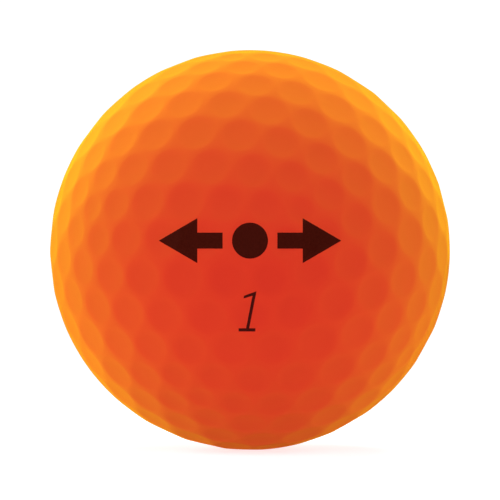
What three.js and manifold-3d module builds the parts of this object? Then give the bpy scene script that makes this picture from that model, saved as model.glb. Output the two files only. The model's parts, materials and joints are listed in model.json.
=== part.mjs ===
// Three-piece golf ball: rubber core, mantle in two half cups, dimpled cover in two halves, printed ink.
// Millimetres, +Z up, origin at the centre of the ball. The print is centred on -Y and again on +Y.
import * as THREE from "three";
import { mergeVertices } from "three/addons/utils/BufferGeometryUtils.js";
import Module from "manifold-3d";

const wasm = await Module();
wasm.setup();

// Layers, from the outside in
const BALL_RADIUS = 21.35;
const COVER_THICKNESS = 1.55;
const MANTLE_THICKNESS = 1.45;
const LAYER_GAP = 0.05; // between the cover and the mantle
const CORE_CLEARANCE = 0.08; // between the mantle and the core
const PARTING_GAP = 0.06; // between the two halves of one layer
const MANTLE_RADIUS = BALL_RADIUS - COVER_THICKNESS - LAYER_GAP;
const CORE_RADIUS = MANTLE_RADIUS - MANTLE_THICKNESS - CORE_CLEARANCE;
const CORE_DETAIL = 6;

// Dimples: an icosahedral layout with this many spacings along each of its edges
const EDGE_SPACINGS = 6;
const SPACING_EASE = 0.57; // lower values crowd the dimples towards the layout's twelve corners
const LAYOUT_TILT = new THREE.Euler(
  THREE.MathUtils.degToRad(-12.4),
  THREE.MathUtils.degToRad(5.0),
  THREE.MathUtils.degToRad(-17.9),
);
const RIDGE_WIDTH = 0.45; // left between neighbouring rims at their closest
const DEPTH_SHARE = 0.068; // depth of a dimple below the round outline, as a share of its rim's radius

// Print
const INK_LIFT = 0.03;
const INK_THICKNESS = 0.08;
const MARK_HEIGHT_ON_BALL = 0.94; // the mark's centre line, above the middle of the ball
const MARK_HALF_LENGTH = 9.2;
const ARROW_HEAD_LENGTH = 3.9;
const ARROW_HEAD_HEIGHT = 4.5;
const ARROW_SHAFT_HEIGHT = 1.6;
const DOT_RADIUS = 1.8;
const DOT_GAP = 0.95;
const NUMERAL_FOOT = { x: -0.3, z: -8.2 }; // middle of the foot's lower edge
const NUMERAL_HEIGHT = 4.05;
const NUMERAL_SLANT = Math.tan(THREE.MathUtils.degToRad(11));
const NUMERAL_STROKE = 0.31;
const NUMERAL_FOOT_HALF_WIDTH = 0.84;
const NUMERAL_FLAG_LENGTH = 1.15;
const NUMERAL_FLAG_DROP = 0.44;
const NUMERAL_FLAG_STROKE = 0.27;

const FRONT = new THREE.Vector3(0, -1, 0);
const REAR = new THREE.Vector3(0, 1, 0);
const BOTTOM = new THREE.Vector3(0, 0, -1);
const TOP = new THREE.Vector3(0, 0, 1);

// Dimple centres, as unit vectors, and the triangles of neighbouring centres between them.
function dimpleLayout() {
  const centres = [];
  const triangles = [];
  const SAME_POINT = 1e-3;
  const edgeAngle = Math.acos(1 / Math.sqrt(5));

  function centreIndex(point) {
    const known = centres.findIndex((c) => c.distanceTo(point) < SAME_POINT);
    return known >= 0 ? known : centres.push(point) - 1;
  }

  const corners = new THREE.IcosahedronGeometry(1, 0).getAttribute("position");
  for (let face = 0; face < corners.count; face += 3) {
    const [a, b, c] = [0, 1, 2].map((k) =>
      new THREE.Vector3().fromBufferAttribute(corners, face + k).applyEuler(LAYOUT_TILT),
    );
    const weight = (steps) => Math.sin((steps / EDGE_SPACINGS) * SPACING_EASE * edgeAngle);
    const at = (i, j) => {
      const point = new THREE.Vector3()
        .addScaledVector(a, weight(i))
        .addScaledVector(b, weight(j))
        .addScaledVector(c, weight(EDGE_SPACINGS - i - j));
      return centreIndex(point.normalize());
    };
    for (let i = 0; i < EDGE_SPACINGS; i++) {
      for (let j = 0; j < EDGE_SPACINGS - i; j++) {
        triangles.push([at(i, j), at(i + 1, j), at(i, j + 1)]);
        if (i + j < EDGE_SPACINGS - 1) {
          triangles.push([at(i + 1, j), at(i + 1, j + 1), at(i, j + 1)]);
        }
      }
    }
  }
  return { centres, triangles };
}

// One cell per dimple: its centre, its corners anticlockwise seen from outside, and for each side
// the cell that lies across it. A corner lies in the middle of three neighbouring dimples.
function dimpleCells({ centres, triangles }) {
  const corners = triangles.map((around) => ({
    around,
    point: around
      .reduce((sum, k) => sum.add(centres[k]), new THREE.Vector3())
      .normalize(),
  }));
  return centres.map((centre, index) => {
    const east = new THREE.Vector3(0, 0, 1).cross(centre).normalize();
    const north = centre.clone().cross(east);
    const bearing = ({ point }) => Math.atan2(point.dot(north), point.dot(east));
    const ring = corners
      .filter(({ around }) => around.includes(index))
      .sort((p, q) => bearing(p) - bearing(q));
    const across = ring.map(({ around }, k) => {
      const next = ring[(k + 1) % ring.length].around;
      return around.find((other) => other !== index && next.includes(other));
    });
    return { centre, ring, across };
  });
}

const layout = dimpleLayout();
const cells = dimpleCells(layout);

// Gathers triangles, each with its corners anticlockwise seen from outside.
class Skin {
  positions = [];

  triangle(a, b, c) {
    for (const p of [a, b, c]) this.positions.push(p.x, p.y, p.z);
  }

  geometry() {
    const attribute = new THREE.Float32BufferAttribute(this.positions, 3);
    const geometry = new THREE.BufferGeometry().setAttribute("position", attribute);
    geometry.computeVertexNormals();
    return geometry;
  }
}

const scaled = (direction, radius) => direction.clone().multiplyScalar(radius);

// Unit vector along the ball's surface at centre, towards point.
function heading(centre, point) {
  return point.clone().addScaledVector(centre, -point.dot(centre)).normalize();
}

// The dimple of one cell: ridge, round rim and a bowl down to its lowest point.
function addDimple(skin, centre, corners) {
  const count = corners.length;
  const sideDistance = corners.map((corner, k) => {
    const middle = corner.clone().add(corners[(k + 1) % count]).normalize();
    return middle.angleTo(centre);
  });
  const rimAngle = Math.min(...sideDistance) - RIDGE_WIDTH / 2 / BALL_RADIUS;
  const rimPoint = (direction) =>
    scaled(centre, Math.cos(rimAngle))
      .addScaledVector(direction, Math.sin(rimAngle))
      .multiplyScalar(BALL_RADIUS);
  const headings = corners.map((corner) => heading(centre, corner));
  const rim = headings.flatMap((direction, k) => {
    const between = direction.clone().add(headings[(k + 1) % count]).normalize();
    return [rimPoint(direction), rimPoint(between)];
  });
  const rimAt = (k) => rim[(k + rim.length) % rim.length];
  const lowest = scaled(centre, BALL_RADIUS * (1 - DEPTH_SHARE * rimAngle));
  const ridge = corners.map((corner) => scaled(corner, BALL_RADIUS));
  ridge.forEach((corner, k) => {
    skin.triangle(corner, rimAt(2 * k + 1), rimAt(2 * k));
    skin.triangle(corner, rimAt(2 * k), rimAt(2 * k - 1));
    skin.triangle(corner, ridge[(k + 1) % count], rimAt(2 * k + 1));
  });
  rim.forEach((point, k) => skin.triangle(lowest, point, rimAt(k + 1)));
}

// A plain cell of a round layer, facing outwards or inwards.
function addPlainCell(skin, centre, corners, radius, inwards) {
  const middle = scaled(centre, radius);
  corners.forEach((corner, k) => {
    const here = scaled(corner, radius);
    const next = scaled(corners[(k + 1) % corners.length], radius);
    if (inwards) skin.triangle(middle, next, here);
    else skin.triangle(middle, here, next);
  });
}

// Half of a layer: the cells on pole's side of the ball, closed along the parting line, which
// follows the ridges from corner to corner. Both halves keep back from that line by half the gap.
function layerHalf(pole, outerRadius, innerRadius, addOuterCell) {
  const skin = new Skin();
  const inHalf = (index) => layout.centres[index].dot(pole) > 0;
  const setBack = PARTING_GAP / 2 / Math.sin(Math.PI / 3) / outerRadius;

  function cornerInHalf({ around, point }) {
    const inside = around.filter(inHalf);
    if (inside.length === 3) return point;
    const middle = inside
      .reduce((sum, k) => sum.add(layout.centres[k]), new THREE.Vector3())
      .normalize();
    return point.clone().addScaledVector(heading(point, middle), setBack).normalize();
  }

  cells.forEach(({ centre, ring, across }, index) => {
    if (!inHalf(index)) return;
    const corners = ring.map(cornerInHalf);
    addOuterCell(skin, centre, corners, outerRadius, false);
    addPlainCell(skin, centre, corners, innerRadius, true);
    corners.forEach((corner, k) => {
      if (inHalf(across[k])) return;
      const next = corners[(k + 1) % corners.length];
      const [outer, outerNext] = [scaled(corner, outerRadius), scaled(next, outerRadius)];
      const [inner, innerNext] = [scaled(corner, innerRadius), scaled(next, innerRadius)];
      skin.triangle(outerNext, outer, inner);
      skin.triangle(outerNext, inner, innerNext);
    });
  });
  return skin.geometry();
}

function coverHalf(pole) {
  return layerHalf(pole, BALL_RADIUS, BALL_RADIUS - COVER_THICKNESS, addDimple);
}

function mantleHalf(pole) {
  return layerHalf(pole, MANTLE_RADIUS, MANTLE_RADIUS - MANTLE_THICKNESS, addPlainCell);
}

// A three.js geometry as a manifold-3d solid, and back.
function solidFrom(geometry) {
  const SAME_VERTEX = 1e-4;
  const bare = geometry.clone();
  bare.deleteAttribute("normal");
  bare.deleteAttribute("uv");
  const merged = mergeVertices(bare, SAME_VERTEX);
  return new wasm.Manifold(
    new wasm.Mesh({
      numProp: 3,
      vertProperties: merged.getAttribute("position").array,
      triVerts: new Uint32Array(merged.getIndex().array),
    }),
  );
}

function geometryFrom(solid) {
  const { vertProperties, triVerts } = solid.getMesh();
  const geometry = new THREE.BufferGeometry();
  geometry.setAttribute("position", new THREE.Float32BufferAttribute(vertProperties, 3));
  geometry.setIndex(new THREE.Uint32BufferAttribute(triVerts, 1));
  geometry.computeVertexNormals();
  return geometry;
}

// A thin layer that follows the dimpled surface all round, to be cut to the printed shapes.
function inkLayer() {
  const skin = new Skin();
  for (const { centre, ring } of cells) {
    addDimple(skin, centre, ring.map(({ point }) => point));
  }
  const surface = skin.geometry();
  const lifted = (height) => {
    const scale = 1 + height / BALL_RADIUS;
    return solidFrom(surface.clone().scale(scale, scale, scale));
  };
  return lifted(INK_LIFT + INK_THICKNESS).subtract(lifted(INK_LIFT));
}

const inkAllRound = inkLayer();

// A printed shape, drawn in x and z as the print is read, pressed straight onto one side of the ball.
function printedShape(shape, side) {
  const CLEAR_OF_BALL = 1;
  const stamp = new THREE.ExtrudeGeometry(shape, {
    depth: BALL_RADIUS + CLEAR_OF_BALL,
    bevelEnabled: false,
    curveSegments: 12,
  });
  stamp.rotateX(Math.PI / 2);
  if (side === REAR) stamp.rotateZ(Math.PI);
  return geometryFrom(inkAllRound.intersect(solidFrom(stamp)));
}

// Arrow pointing away from the mark's centre; direction is -1 for left and 1 for right.
function arrowShape(direction) {
  const tip = MARK_HALF_LENGTH;
  const headBase = tip - ARROW_HEAD_LENGTH;
  const tail = DOT_RADIUS + DOT_GAP;
  const upperHalf = [
    [tail, ARROW_SHAFT_HEIGHT / 2],
    [headBase, ARROW_SHAFT_HEIGHT / 2],
    [headBase, ARROW_HEAD_HEIGHT / 2],
  ];
  const lowerHalf = upperHalf.map(([x, z]) => [x, -z]).reverse();
  const outline = [...upperHalf, [tip, 0], ...lowerHalf];
  return new THREE.Shape(
    outline.map(([x, z]) => new THREE.Vector2(direction * x, MARK_HEIGHT_ON_BALL + z)),
  );
}

function dotShape() {
  return new THREE.Shape().absarc(0, MARK_HEIGHT_ON_BALL, DOT_RADIUS, 0, 2 * Math.PI);
}

// Slim slanted numeral one, with a flag at the top and a straight foot.
function numeralShape() {
  const { x, z } = NUMERAL_FOOT;
  const half = NUMERAL_STROKE / 2;
  const onStem = (height, offset) => [height * NUMERAL_SLANT + offset, height];
  const outline = [
    [-NUMERAL_FOOT_HALF_WIDTH, 0],
    [NUMERAL_FOOT_HALF_WIDTH, 0],
    [NUMERAL_FOOT_HALF_WIDTH, NUMERAL_STROKE],
    onStem(NUMERAL_STROKE, half),
    onStem(NUMERAL_HEIGHT, half),
    onStem(NUMERAL_HEIGHT - NUMERAL_FLAG_DROP, half - NUMERAL_FLAG_LENGTH),
    onStem(NUMERAL_HEIGHT - NUMERAL_FLAG_DROP - NUMERAL_FLAG_STROKE, half - NUMERAL_FLAG_LENGTH),
    onStem(NUMERAL_HEIGHT - NUMERAL_FLAG_DROP, -half),
    onStem(NUMERAL_STROKE, -half),
    [-NUMERAL_FOOT_HALF_WIDTH, NUMERAL_STROKE],
  ];
  return new THREE.Shape(outline.map(([dx, dz]) => new THREE.Vector2(x + dx, z + dz)));
}

const coverMaterial = () =>
  new THREE.MeshStandardMaterial({ color: 0xe4521f, roughness: 0.7, metalness: 0 });
const mantleMaterial = () =>
  new THREE.MeshStandardMaterial({ color: 0xece6d8, roughness: 0.45, metalness: 0 });
const coreMaterial = () =>
  new THREE.MeshStandardMaterial({ color: 0x3f6f86, roughness: 0.85, metalness: 0 });
const inkMaterial = () =>
  new THREE.MeshStandardMaterial({ color: 0x33140c, roughness: 0.6, metalness: 0 });

const ball = new THREE.Group();

function addPiece(name, geometry, material) {
  const mesh = new THREE.Mesh(geometry, material);
  mesh.name = name;
  ball.add(mesh);
}

addPiece("core", new THREE.IcosahedronGeometry(CORE_RADIUS, CORE_DETAIL), coreMaterial());
addPiece("mantle_lower", mantleHalf(BOTTOM), mantleMaterial());
addPiece("mantle_upper", mantleHalf(TOP), mantleMaterial());
addPiece("cover_front", coverHalf(FRONT), coverMaterial());
addPiece("cover_rear", coverHalf(REAR), coverMaterial());
for (const [place, side] of [["front", FRONT], ["rear", REAR]]) {
  addPiece(`${place}_mark_left_arrow`, printedShape(arrowShape(-1), side), inkMaterial());
  addPiece(`${place}_mark_dot`, printedShape(dotShape(), side), inkMaterial());
  addPiece(`${place}_mark_right_arrow`, printedShape(arrowShape(1), side), inkMaterial());
  addPiece(`${place}_numeral`, printedShape(numeralShape(), side), inkMaterial());
}

export default ball;
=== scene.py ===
import itertools
import json
import math

import bmesh
import bpy
from mathutils import Euler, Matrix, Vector


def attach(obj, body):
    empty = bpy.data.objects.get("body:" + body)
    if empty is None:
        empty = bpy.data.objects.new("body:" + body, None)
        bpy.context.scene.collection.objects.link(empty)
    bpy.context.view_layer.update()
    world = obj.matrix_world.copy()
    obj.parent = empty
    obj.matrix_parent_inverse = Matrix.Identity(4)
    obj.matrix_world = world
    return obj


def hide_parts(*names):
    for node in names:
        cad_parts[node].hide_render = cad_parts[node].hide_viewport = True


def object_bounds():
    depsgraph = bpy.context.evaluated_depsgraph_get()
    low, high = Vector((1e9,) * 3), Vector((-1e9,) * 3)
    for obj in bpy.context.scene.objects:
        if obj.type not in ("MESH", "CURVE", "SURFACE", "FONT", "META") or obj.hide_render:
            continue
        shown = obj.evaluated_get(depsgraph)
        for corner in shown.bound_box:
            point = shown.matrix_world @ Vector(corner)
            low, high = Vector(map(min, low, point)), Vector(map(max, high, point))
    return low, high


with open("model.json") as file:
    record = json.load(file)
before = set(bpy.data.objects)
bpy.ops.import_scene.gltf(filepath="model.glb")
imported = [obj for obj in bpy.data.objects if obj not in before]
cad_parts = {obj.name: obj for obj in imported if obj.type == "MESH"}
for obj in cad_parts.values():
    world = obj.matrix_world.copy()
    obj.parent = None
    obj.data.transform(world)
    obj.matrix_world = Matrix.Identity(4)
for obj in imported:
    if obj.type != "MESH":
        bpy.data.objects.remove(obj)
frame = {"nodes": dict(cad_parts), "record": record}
cad_low, cad_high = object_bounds()

MM = 0.001

# ---------------------------------------------------------------- sizes from the frame
TEE_REST = next(m for m in frame["record"]["mounts"] if m["name"] == "tee_rest")
BALL_RADIUS = -TEE_REST["pos_m"][2]


def vertex_radii(node):
    return [v.co.length for v in frame["nodes"][node].data.vertices]


COVER_INNER_RADIUS = min(vertex_radii("cover_front"))
MANTLE_RADIUS = max(vertex_radii("mantle_upper"))
MANTLE_INNER_RADIUS = min(vertex_radii("mantle_upper"))
CORE_RADIUS = max(vertex_radii("core"))

# ---------------------------------------------------------------- dimples
EDGE_SPACINGS = 6  # dimple spacings along each edge of the icosahedral layout
SPACING_EASE = 0.57  # lower values crowd the dimples towards the layout's twelve corners
LAYOUT_TILT = Euler([math.radians(a) for a in (-12.4, 5.0, -17.9)], "ZYX")
RIDGE_WIDTH = 0.45 * MM  # between neighbouring rims at their closest
RIM_FILL = 0.1  # 0 is a round rim, 1 follows the cell's straight sides
DEPTH_SHARE = 0.068  # depth of a dimple below the round outline, as a share of its rim's radius
BOWL_POWER = 2.2  # 2 is a round bowl, higher values flatten its floor
RIM_SOFTNESS = 0.025 * MM  # rounds the rim's edge over
SIDE_FADE = 4  # how late, on the way out from the centre, a cell comes up to the round outline
PARTING_GAP = 0.02 * MM  # hairline between the two halves of a layer

SIDE_STEPS = 6  # mesh steps along one side of a dimple's cell
BOWL_RINGS = (0.2, 0.4, 0.57, 0.71, 0.82, 0.91, 1.0)  # shares of the rim's radius
RIDGE_RINGS = (0.25, 0.55, 1.0)  # shares of the way from the rim to the cell's side
PLAIN_SIDE_STEPS = 3
PLAIN_RINGS = (0.5, 1.0)

FRONT = Vector((0, -1, 0))
REAR = Vector((0, 1, 0))
BOTTOM = Vector((0, 0, -1))
TOP = Vector((0, 0, 1))


def icosahedron_faces():
    golden = (1 + math.sqrt(5)) / 2
    edge, tolerance = 2.0, 1e-3
    corners = []
    for a in (-1, 1):
        for b in (-golden, golden):
            corners += [Vector((0, a, b)), Vector((a, b, 0)), Vector((b, 0, a))]
    faces = []
    for a, b, c in itertools.combinations(corners, 3):
        sides = ((a - b).length, (b - c).length, (c - a).length)
        if max(abs(side - edge) for side in sides) < tolerance:
            outward = (b - a).cross(c - a).dot(a) > 0
            faces.append((a, b, c) if outward else (a, c, b))
    return [[corner.normalized() for corner in face] for face in faces]


def dimple_layout():
    """Dimple centres as unit vectors, and the triangles of neighbouring centres between them."""
    same_point_digits = 3
    centres, triangles, index_of = [], [], {}
    edge_angle = math.acos(1 / math.sqrt(5))

    def weight(steps):
        return math.sin(steps / EDGE_SPACINGS * SPACING_EASE * edge_angle)

    for a, b, c in icosahedron_faces():
        def at(i, j):
            point = a * weight(i) + b * weight(j) + c * weight(EDGE_SPACINGS - i - j)
            point.normalize()
            key = tuple(round(x, same_point_digits) + 0.0 for x in point)  # + 0.0 turns -0.0 into 0.0
            if key not in index_of:
                index_of[key] = len(centres)
                point.rotate(LAYOUT_TILT)
                centres.append(point)
            return index_of[key]

        for i in range(EDGE_SPACINGS):
            for j in range(EDGE_SPACINGS - i):
                triangles.append((at(i, j), at(i + 1, j), at(i, j + 1)))
                if i + j < EDGE_SPACINGS - 1:
                    triangles.append((at(i + 1, j), at(i + 1, j + 1), at(i, j + 1)))
    return centres, triangles


def dimple_cells(centres, triangles):
    """One cell per dimple: its corners, each with the triangle of dimples that it lies between,
    anticlockwise seen from outside, and the dimple across each side."""
    around = [[] for _ in centres]
    for triangle in triangles:
        corner = sum((centres[k] for k in triangle), Vector()).normalized()
        for k in triangle:
            around[k].append((corner, triangle))
    cells = []
    for index, centre in enumerate(centres):
        east = Vector((0, 0, 1)).cross(centre).normalized()
        north = centre.cross(east)
        ring = sorted(around[index], key=lambda c: math.atan2(c[0].dot(north), c[0].dot(east)))
        across = []
        for k, (_, triangle) in enumerate(ring):
            following = ring[(k + 1) % len(ring)][1]
            across.append(next(o for o in triangle if o != index and o in following))
        cells.append((ring, across))
    return cells


CENTRES, TRIANGLES = dimple_layout()
CELLS = dimple_cells(CENTRES, TRIANGLES)


def heading(centre, point):
    """Unit vector along the ball's surface at centre, towards point."""
    return (point - centre * point.dot(centre)).normalized()


def side_points(corners, steps):
    """Points round a cell's sides, the same from either side of each."""
    points = []
    for k, corner in enumerate(corners):
        following = corners[(k + 1) % len(corners)]
        points += [corner.lerp(following, j / steps).normalized() for j in range(steps)]
    return points


def dimple_rings(centre, boundary):
    """Rings of points, from the middle out: a bowl inside a soft rim, then the ridge."""
    reach = [centre.angle(point) for point in boundary]
    half_ridge = RIDGE_WIDTH / 2 / BALL_RADIUS
    round_rim = min(reach) - half_ridge
    depth = DEPTH_SHARE * round_rim * BALL_RADIUS

    def softened(share):
        """Depth at that share of the way to the rim, never quite nothing."""
        bowl = depth * (1 - share ** BOWL_POWER)
        return (bowl + math.hypot(bowl, RIM_SOFTNESS)) / 2

    def point_at(toward, angle, rim, side):
        left_at_side = softened(side / rim) * (angle / side) ** SIDE_FADE
        radius = BALL_RADIUS - softened(angle / rim) + left_at_side
        return (centre * math.cos(angle) + toward * math.sin(angle)) * radius

    headings = [heading(centre, point) for point in boundary]
    rims = [round_rim + RIM_FILL * (side - half_ridge - round_rim) for side in reach]
    rings = []
    for share in BOWL_RINGS:
        rings.append([point_at(toward, rim * share, rim, side)
                      for toward, rim, side in zip(headings, rims, reach)])
    for share in RIDGE_RINGS:
        rings.append([point_at(toward, rim + (side - rim) * share, rim, side)
                      for toward, rim, side in zip(headings, rims, reach)])
    return centre * (BALL_RADIUS - softened(0)), rings


def plain_rings(radius):
    """The same for a plain round layer of that radius."""
    def rings(centre, boundary):
        return centre * radius, [[centre.slerp(point, share) * radius for point in boundary]
                                 for share in PLAIN_RINGS]
    return rings


class Skin:
    """Gathers points and faces, and makes a mesh object of them with its touching points joined."""

    JOIN = 0.0005 * MM
    SHARP = math.radians(45)

    def __init__(self):
        self.points, self.faces = [], []

    def add(self, points):
        first = len(self.points)
        self.points += points
        return list(range(first, first + len(points)))

    def add_cell(self, middle, rings, inwards=False):
        hub = self.add([middle])[0]
        inner = None
        for ring in rings:
            outer = self.add(ring)
            for k in range(len(ring)):
                n = (k + 1) % len(ring)
                face = [hub, outer[k], outer[n]]
                if inner:
                    face = [inner[k], outer[k], outer[n], inner[n]]
                self.faces.append(face[::-1] if inwards else face)
            inner = outer

    def object(self, name):
        """The mesh object. Its faces are smooth, with sharp edges only where the surface turns hard."""
        mesh = bpy.data.meshes.new(name)
        mesh.from_pydata([p[:] for p in self.points], [], self.faces)
        bm = bmesh.new()
        bm.from_mesh(mesh)
        bmesh.ops.remove_doubles(bm, verts=bm.verts, dist=self.JOIN)
        for face in bm.faces:
            face.smooth = True
        for edge in bm.edges:
            edge.smooth = len(edge.link_faces) == 2 and edge.calc_face_angle() < self.SHARP
        bm.to_mesh(mesh)
        bm.free()
        return link(name, mesh)


def link(name, data):
    obj = bpy.data.objects.new(name, data)
    bpy.context.scene.collection.objects.link(obj)
    return obj


def layer_half(name, pole, outer_rings, outer_radius, inner_radius, steps):
    """Half of a layer: the cells on pole's side, closed along the parting line between dimples."""
    skin = Skin()
    half_corner = math.radians(60)  # the cells' corners are about 120 degrees wide
    set_back = PARTING_GAP / 2 / math.sin(half_corner) / outer_radius
    inside = [centre.dot(pole) > 0 for centre in CENTRES]

    def corner_in_half(corner, triangle):
        kept = [CENTRES[k] for k in triangle if inside[k]]
        if len(kept) == len(triangle):
            return corner
        middle = sum(kept, Vector()).normalized()
        return (corner + heading(corner, middle) * set_back).normalized()

    for index, (ring, across) in enumerate(CELLS):
        if not inside[index]:
            continue
        centre = CENTRES[index]
        corners = [corner_in_half(corner, triangle) for corner, triangle in ring]
        boundary = side_points(corners, steps)
        skin.add_cell(*outer_rings(centre, boundary))
        skin.add_cell(*plain_rings(inner_radius)(centre, boundary), inwards=True)
        for k, neighbour in enumerate(across):
            if inside[neighbour]:
                continue
            side = [boundary[(k * steps + j) % len(boundary)] for j in range(steps + 1)]
            outer = skin.add([point * outer_radius for point in side])
            inner = skin.add([point * inner_radius for point in side])
            for j in range(steps):
                skin.faces.append([outer[j + 1], outer[j], inner[j], inner[j + 1]])
    return skin.object(name)


def whole_ball(name, radius):
    skin = Skin()
    for centre, (ring, _) in zip(CENTRES, CELLS):
        boundary = side_points([corner for corner, _ in ring], PLAIN_SIDE_STEPS)
        skin.add_cell(*plain_rings(radius)(centre, boundary))
    return skin.object(name)


# ---------------------------------------------------------------- printed ink
INK_LIFT = 0.002 * MM
INK_THICKNESS = 0.014 * MM
FILM_MARGIN = 1.2 * MM  # of cover kept round an outline before it is cut; wider than any of its faces
CUT_TOLERANCE = 1e-9
FILM_JOIN = 0.002 * MM  # joins the slivers that the cuts leave
MARK_HEIGHT_ON_BALL = 0.94 * MM  # the mark's centre line, above the middle of the ball
MARK_HALF_LENGTH = 9.2 * MM
ARROW_HEAD_LENGTH = 3.9 * MM
ARROW_HEAD_HEIGHT = 4.5 * MM
ARROW_SHAFT_HEIGHT = 1.6 * MM
DOT_RADIUS = 1.8 * MM
DOT_GAP = 0.95 * MM
DOT_SIDES = 72
NUMERAL_FOOT = Vector((-0.3 * MM, -8.2 * MM))  # middle of the foot's lower edge
NUMERAL_HEIGHT = 4.05 * MM
NUMERAL_SLANT = math.tan(math.radians(11))
NUMERAL_STROKE = 0.31 * MM
NUMERAL_FOOT_HALF_WIDTH = 0.84 * MM
NUMERAL_FLAG_LENGTH = 1.15 * MM
NUMERAL_FLAG_DROP = 0.44 * MM
NUMERAL_FLAG_STROKE = 0.27 * MM


def arrow_outline(direction):
    """Arrow pointing away from the mark's centre, left (-1) or right (1)."""
    head_base = MARK_HALF_LENGTH - ARROW_HEAD_LENGTH
    upper = [
        (DOT_RADIUS + DOT_GAP, ARROW_SHAFT_HEIGHT / 2),
        (head_base, ARROW_SHAFT_HEIGHT / 2),
        (head_base, ARROW_HEAD_HEIGHT / 2),
    ]
    lower = [(x, -z) for x, z in reversed(upper)]
    return [(direction * x, MARK_HEIGHT_ON_BALL + z)
            for x, z in [*upper, (MARK_HALF_LENGTH, 0), *lower]]


def dot_outline():
    turns = [2 * math.pi * k / DOT_SIDES for k in range(DOT_SIDES)]
    return [(DOT_RADIUS * math.cos(turn), MARK_HEIGHT_ON_BALL + DOT_RADIUS * math.sin(turn))
            for turn in turns]


def numeral_outline():
    """Slim slanted numeral one, with a flag at the top and a straight foot."""
    half = NUMERAL_STROKE / 2

    def on_stem(height, offset):
        return height * NUMERAL_SLANT + offset, height

    flag_tip = half - NUMERAL_FLAG_LENGTH
    flag_height = NUMERAL_HEIGHT - NUMERAL_FLAG_DROP
    outline = [
        (-NUMERAL_FOOT_HALF_WIDTH, 0),
        (NUMERAL_FOOT_HALF_WIDTH, 0),
        (NUMERAL_FOOT_HALF_WIDTH, NUMERAL_STROKE),
        on_stem(NUMERAL_STROKE, half),
        on_stem(NUMERAL_HEIGHT, half),
        on_stem(flag_height, flag_tip),
        on_stem(flag_height - NUMERAL_FLAG_STROKE, flag_tip),
        on_stem(flag_height, -half),
        on_stem(NUMERAL_STROKE, -half),
        (-NUMERAL_FOOT_HALF_WIDTH, NUMERAL_STROKE),
    ]
    return [(NUMERAL_FOOT.x + x, NUMERAL_FOOT.y + z) for x, z in outline]


def sides_of(outline):
    """Each side of a closed outline, as its two ends."""
    return zip(outline, [*outline[1:], outline[0]])


def is_within(outline, x, z):
    within = False
    for (x1, z1), (x2, z2) in sides_of(outline):
        if (z1 > z) != (z2 > z) and x < x1 + (z - z1) * (x2 - x1) / (z2 - z1):
            within = not within
    return within


def keep_faces(bm, is_kept):
    dropped = [face for face in bm.faces if not is_kept(face, face.calc_center_median())]
    bmesh.ops.delete(bm, geom=dropped, context="FACES")


def printed_film(name, outline, cover, pole):
    """A film of ink over the part of the cover that the outline falls on, seen along the pole."""
    if pole == REAR:
        outline = [(-x, z) for x, z in outline]
    xs, zs = zip(*outline)
    bm = bmesh.new()
    bm.from_mesh(cover.data)

    def is_near(face, centre):
        return (centre.dot(pole) > 0 and face.normal.dot(centre) > 0
                and min(xs) - FILM_MARGIN < centre.x < max(xs) + FILM_MARGIN
                and min(zs) - FILM_MARGIN < centre.z < max(zs) + FILM_MARGIN)

    keep_faces(bm, is_near)
    for (x1, z1), (x2, z2) in sides_of(outline):
        bmesh.ops.bisect_plane(
            bm, geom=bm.verts[:] + bm.edges[:] + bm.faces[:], dist=CUT_TOLERANCE,
            plane_co=(x1, 0, z1), plane_no=(z2 - z1, 0, x1 - x2),
        )
    keep_faces(bm, lambda _, centre: is_within(outline, centre.x, centre.z))
    bmesh.ops.remove_doubles(bm, verts=bm.verts, dist=FILM_JOIN)
    bm.verts.index_update()

    film = Skin()
    under, upper = (film.add([vert.co + vert.co.normalized() * lift for vert in bm.verts])
                    for lift in (INK_LIFT, INK_LIFT + INK_THICKNESS))
    for face in bm.faces:
        corners = [vert.index for vert in face.verts]
        film.faces.append([upper[k] for k in corners])
        film.faces.append([under[k] for k in reversed(corners)])
    for edge in bm.edges:
        if edge.is_boundary:
            loop = edge.link_loops[0]
            start, end = loop.vert.index, loop.link_loop_next.vert.index
            film.faces.append([upper[end], upper[start], under[start], under[end]])
    bm.free()
    return film.object(name)


# ---------------------------------------------------------------- materials
NOISE_LOW, NOISE_HIGH = 0.3, 0.7  # nearly all of a noise's values lie between these


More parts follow.
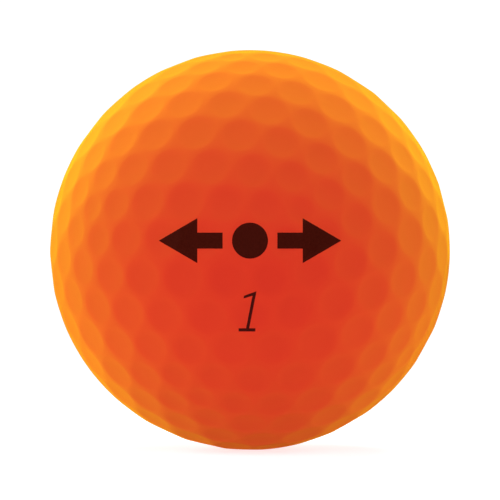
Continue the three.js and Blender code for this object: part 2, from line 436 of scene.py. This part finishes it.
class Finish:
    """A Principled material, with the helpers that its texture nodes need."""

    def __init__(self, name, **values):
        self.material = bpy.data.materials.new(name)
        self.material.use_nodes = True
        self.nodes = self.material.node_tree.nodes
        self.links = self.material.node_tree.links
        self.shader = self.nodes["Principled BSDF"]
        self.place = self.nodes.new("ShaderNodeTexCoord").outputs["Object"]
        for socket, value in values.items():
            self.shader.inputs[socket.replace("_", " ")].default_value = value

    def noise(self, grain, detail=3.0, roughness=0.55):
        """Noise whose grains are about that size, in metres."""
        node = self.nodes.new("ShaderNodeTexNoise")
        node.inputs["Scale"].default_value = 1 / grain
        node.inputs["Detail"].default_value = detail
        node.inputs["Roughness"].default_value = roughness
        self.links.new(self.place, node.inputs["Vector"])
        return node.outputs["Fac"]

    def ranged(self, value, low=NOISE_LOW, high=NOISE_HIGH, to_low=0.0, to_high=1.0):
        node = self.nodes.new("ShaderNodeMapRange")
        node.inputs["From Min"].default_value = low
        node.inputs["From Max"].default_value = high
        node.inputs["To Min"].default_value = to_low
        node.inputs["To Max"].default_value = to_high
        self.links.new(value, node.inputs["Value"])
        return node.outputs["Result"]

    def mixed(self, share, first, second):
        """A mix of two colours, each a plain colour or another mix."""
        node = self.nodes.new("ShaderNodeMix")
        node.data_type = "RGBA"
        self.links.new(share, node.inputs["Factor"])
        sockets = [socket for socket in node.inputs if socket.type == "RGBA"]
        for socket, colour in zip(sockets, (first, second)):
            if isinstance(colour, tuple):
                socket.default_value = (*colour, 1)
            else:
                self.links.new(colour, socket)
        return next(socket for socket in node.outputs if socket.type == "RGBA")

    def radius(self):
        """Distance from the ball's centre."""
        node = self.nodes.new("ShaderNodeVectorMath")
        node.operation = "LENGTH"
        self.links.new(self.place, node.inputs[0])
        return node.outputs["Value"]

    def bumps(self, *layers):
        """Layers of (height, depth in metres)."""
        normal = None
        for height, depth in layers:
            node = self.nodes.new("ShaderNodeBump")
            node.inputs["Strength"].default_value = 1.0
            node.inputs["Distance"].default_value = depth
            self.links.new(height, node.inputs["Height"])
            if normal:
                self.links.new(normal, node.inputs["Normal"])
            normal = node.outputs["Normal"]
        self.links.new(normal, self.shader.inputs["Normal"])

    def set(self, socket, output):
        self.links.new(output, self.shader.inputs[socket])


def cover_finish():
    """Matte fluorescent orange: red-orange face on, yellow-orange where its sheen shows at an edge."""
    finish = Finish("matte_orange_cover", IOR=1.48, Sheen_Weight=1.0, Sheen_Roughness=0.61,
                    Diffuse_Roughness=1.0, Sheen_Tint=(1.0, 0.62, 0.013, 1), Specular_IOR_Level=0.0)
    # The base colour is painted lighter on the ridges between dimples and darker in their bowls: painted
    # light on the ridges, painted shade in the bowls. The mottle between the two bowl colours is random
    # tone.
    in_bowl, in_bowl_paler, painted_lit_ridge = (0.78, 0.024, 0.026), (0.80, 0.029, 0.027), (0.81, 0.033, 0.027)
    painted_light_reach = 0.09 * MM
    # mask of the painted ridge light, from the distance to the ball's centre: 0 deep in a bowl, 1 at the
    # round outline
    ridge = finish.ranged(finish.radius(), BALL_RADIUS - painted_light_reach, BALL_RADIUS)
    mottle = finish.ranged(finish.noise(5 * MM))
    finish.set("Base Color", finish.mixed(ridge, finish.mixed(mottle, in_bowl, in_bowl_paler), painted_lit_ridge))
    grain = finish.noise(0.12 * MM, detail=4)
    finish.set("Roughness", finish.ranged(grain, to_low=0.52, to_high=0.68))
    finish.bumps((grain, 0.006 * MM), (finish.noise(1.4 * MM), 0.012 * MM))
    return finish.material


def ink_finish():
    finish = Finish("brown_ink", IOR=1.45, Specular_IOR_Level=0.03)
    dark, paler = (0.044, 0.004, 0.001), (0.056, 0.006, 0.002)
    grain = finish.noise(0.2 * MM)
    finish.set("Base Color", finish.mixed(finish.ranged(grain, 0.35, 0.65), dark, paler))
    finish.set("Roughness", finish.ranged(grain, to_low=0.45, to_high=0.6))
    finish.bumps((grain, 0.004 * MM))
    return finish.material


def mantle_finish():
    finish = Finish("ionomer_mantle", IOR=1.5)
    cream, paler = (0.80, 0.75, 0.64), (0.87, 0.83, 0.74)
    cloud = finish.noise(3 * MM)
    finish.set("Base Color", finish.mixed(finish.ranged(cloud), cream, paler))
    fine = finish.noise(0.3 * MM)
    finish.set("Roughness", finish.ranged(fine, to_low=0.35, to_high=0.5))
    finish.bumps((fine, 0.01 * MM))
    return finish.material


def core_finish():
    finish = Finish("cured_rubber_core", IOR=1.52, Specular_IOR_Level=0.2)
    dark, paler = (0.035, 0.13, 0.20), (0.08, 0.22, 0.31)
    speck = finish.noise(0.5 * MM, detail=5)
    finish.set("Base Color", finish.mixed(finish.ranged(speck, 0.4, 0.65), dark, paler))
    finish.set("Roughness", finish.ranged(speck, to_low=0.7, to_high=0.9))
    finish.bumps((speck, 0.03 * MM))
    return finish.material


# ---------------------------------------------------------------- the ball
def place(piece, material, node):
    piece.data.materials.append(material)
    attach(piece, "root")
    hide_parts(node)


COVER, INK, MANTLE, CORE = cover_finish(), ink_finish(), mantle_finish(), core_finish()

place(whole_ball("rubber_core", CORE_RADIUS), CORE, "core")
for side, pole in (("lower", BOTTOM), ("upper", TOP)):
    half = layer_half(f"mantle_cup_{side}", pole, plain_rings(MANTLE_RADIUS),
                      MANTLE_RADIUS, MANTLE_INNER_RADIUS, PLAIN_SIDE_STEPS)
    place(half, MANTLE, f"mantle_{side}")

PRINTS = {
    "mark_left_arrow": arrow_outline(-1),
    "mark_dot": dot_outline(),
    "mark_right_arrow": arrow_outline(1),
    "numeral": numeral_outline(),
}
for side, pole in (("front", FRONT), ("rear", REAR)):
    cover = layer_half(f"dimpled_cover_{side}", pole, dimple_rings,
                       BALL_RADIUS, COVER_INNER_RADIUS, SIDE_STEPS)
    place(cover, COVER, f"cover_{side}")
    for label, outline in PRINTS.items():
        film = printed_film(f"ink_{side}_{label}", outline, cover, pole)
        place(film, INK, f"{side}_{label}")

# ---------------------------------------------------------------- stage, lights and camera
WHITE = (1, 1, 1)
FLOOR_SIDES = 96
FLOOR_SOLID_RADIUS = 0.03  # the floor fades out from here
FLOOR_RADIUS = 0.16
BACKDROP_STRENGTH = 1.1
AMBIENT_STRENGTH = 0.01
SOFTBOX_SIZE = 0.5
SOFTBOXES = (  # name, place, watts, colour
    ("overhead", (0, 0.1, 0.5), 4.8, WHITE),
    ("overhead_rear", (0, 0.45, 0.4), 0.5, WHITE),
    ("left", (-0.5, -0.05, 0.1), 1.4, WHITE),
    ("left_rear", (-0.45, 0.35, 0.1), 2.9, WHITE),
    ("right", (0.5, -0.05, 0.1), 0.75, WHITE),
    ("right_rear", (0.45, 0.35, 0.1), 1.8, WHITE),
    ("front_high", (0, -0.5, 0.3), 1.38, WHITE),
    ("front_low", (0, -0.34, -0.43), 2.75, (1, 0.52, 0.85)),
)
CAMERA_DISTANCE = 16 * BALL_RADIUS
SENSOR_WIDTH = 36
OUTLINE_SHARE = 0.8  # of the frame's width, taken by the ball's outline
NEAREST_SHOWN, FARTHEST_SHOWN = 0.01, 20


def add_floor():
    """A pale round floor that fades into the backdrop."""
    mesh = bpy.data.meshes.new("floor")
    bm = bmesh.new()
    bmesh.ops.create_circle(bm, cap_ends=True, segments=FLOOR_SIDES, radius=FLOOR_RADIUS)
    bmesh.ops.translate(bm, verts=bm.verts, vec=(0, 0, cad_low.z))
    bm.to_mesh(mesh)
    bm.free()
    floor = link("floor", mesh)
    finish = Finish("floor", Specular_IOR_Level=0.0, Emission_Strength=0.75)
    grey, paler = (0.58, 0.58, 0.58), (0.62, 0.62, 0.62)
    finish.set("Base Color", finish.mixed(finish.noise(4 * MM), grey, paler))
    finish.set("Alpha", finish.ranged(finish.radius(), FLOOR_SOLID_RADIUS, FLOOR_RADIUS, 1.0, 0.0))
    mesh.materials.append(finish.material)
    floor.visible_diffuse = False
    floor.visible_shadow = False


def add_softbox(name, position, watts, colour):
    """A round softbox that faces the ball."""
    light = bpy.data.lights.new(name, "AREA")
    light.shape = "DISK"
    light.size = SOFTBOX_SIZE
    light.energy = watts
    light.color = colour
    lamp = link(name, light)
    lamp.location = position
    lamp.rotation_euler = (-Vector(position)).to_track_quat("-Z", "Y").to_euler()


def add_world():
    """A faint light from all round, with the backdrop shown to the camera at its own strength."""
    world = bpy.data.worlds.new("studio")
    world.use_nodes = True
    nodes, links = world.node_tree.nodes, world.node_tree.links
    shown, lit = nodes["Background"], nodes.new("ShaderNodeBackground")
    for background, strength in ((shown, BACKDROP_STRENGTH), (lit, AMBIENT_STRENGTH)):
        background.inputs["Color"].default_value = (*WHITE, 1)
        background.inputs["Strength"].default_value = strength
    mix = nodes.new("ShaderNodeMixShader")
    links.new(nodes.new("ShaderNodeLightPath").outputs["Is Camera Ray"], mix.inputs["Fac"])
    links.new(lit.outputs["Background"], mix.inputs[1])
    links.new(shown.outputs["Background"], mix.inputs[2])
    links.new(mix.outputs["Shader"], nodes["World Output"].inputs["Surface"])
    bpy.context.scene.world = world


def add_camera():
    camera = bpy.data.cameras.new("camera")
    camera.sensor_width = SENSOR_WIDTH
    outline_angle = math.asin(BALL_RADIUS / CAMERA_DISTANCE)
    camera.lens = SENSOR_WIDTH / 2 * OUTLINE_SHARE / math.tan(outline_angle)
    camera.clip_start, camera.clip_end = NEAREST_SHOWN, FARTHEST_SHOWN
    eye = link("camera", camera)
    eye.location = (0, -CAMERA_DISTANCE, 0)
    eye.rotation_euler = (math.pi / 2, 0, 0)
    bpy.context.scene.camera = eye


add_floor()
add_world()
for softbox in SOFTBOXES:
    add_softbox(*softbox)
add_camera()
bpy.context.scene.view_settings.view_transform = "Standard"
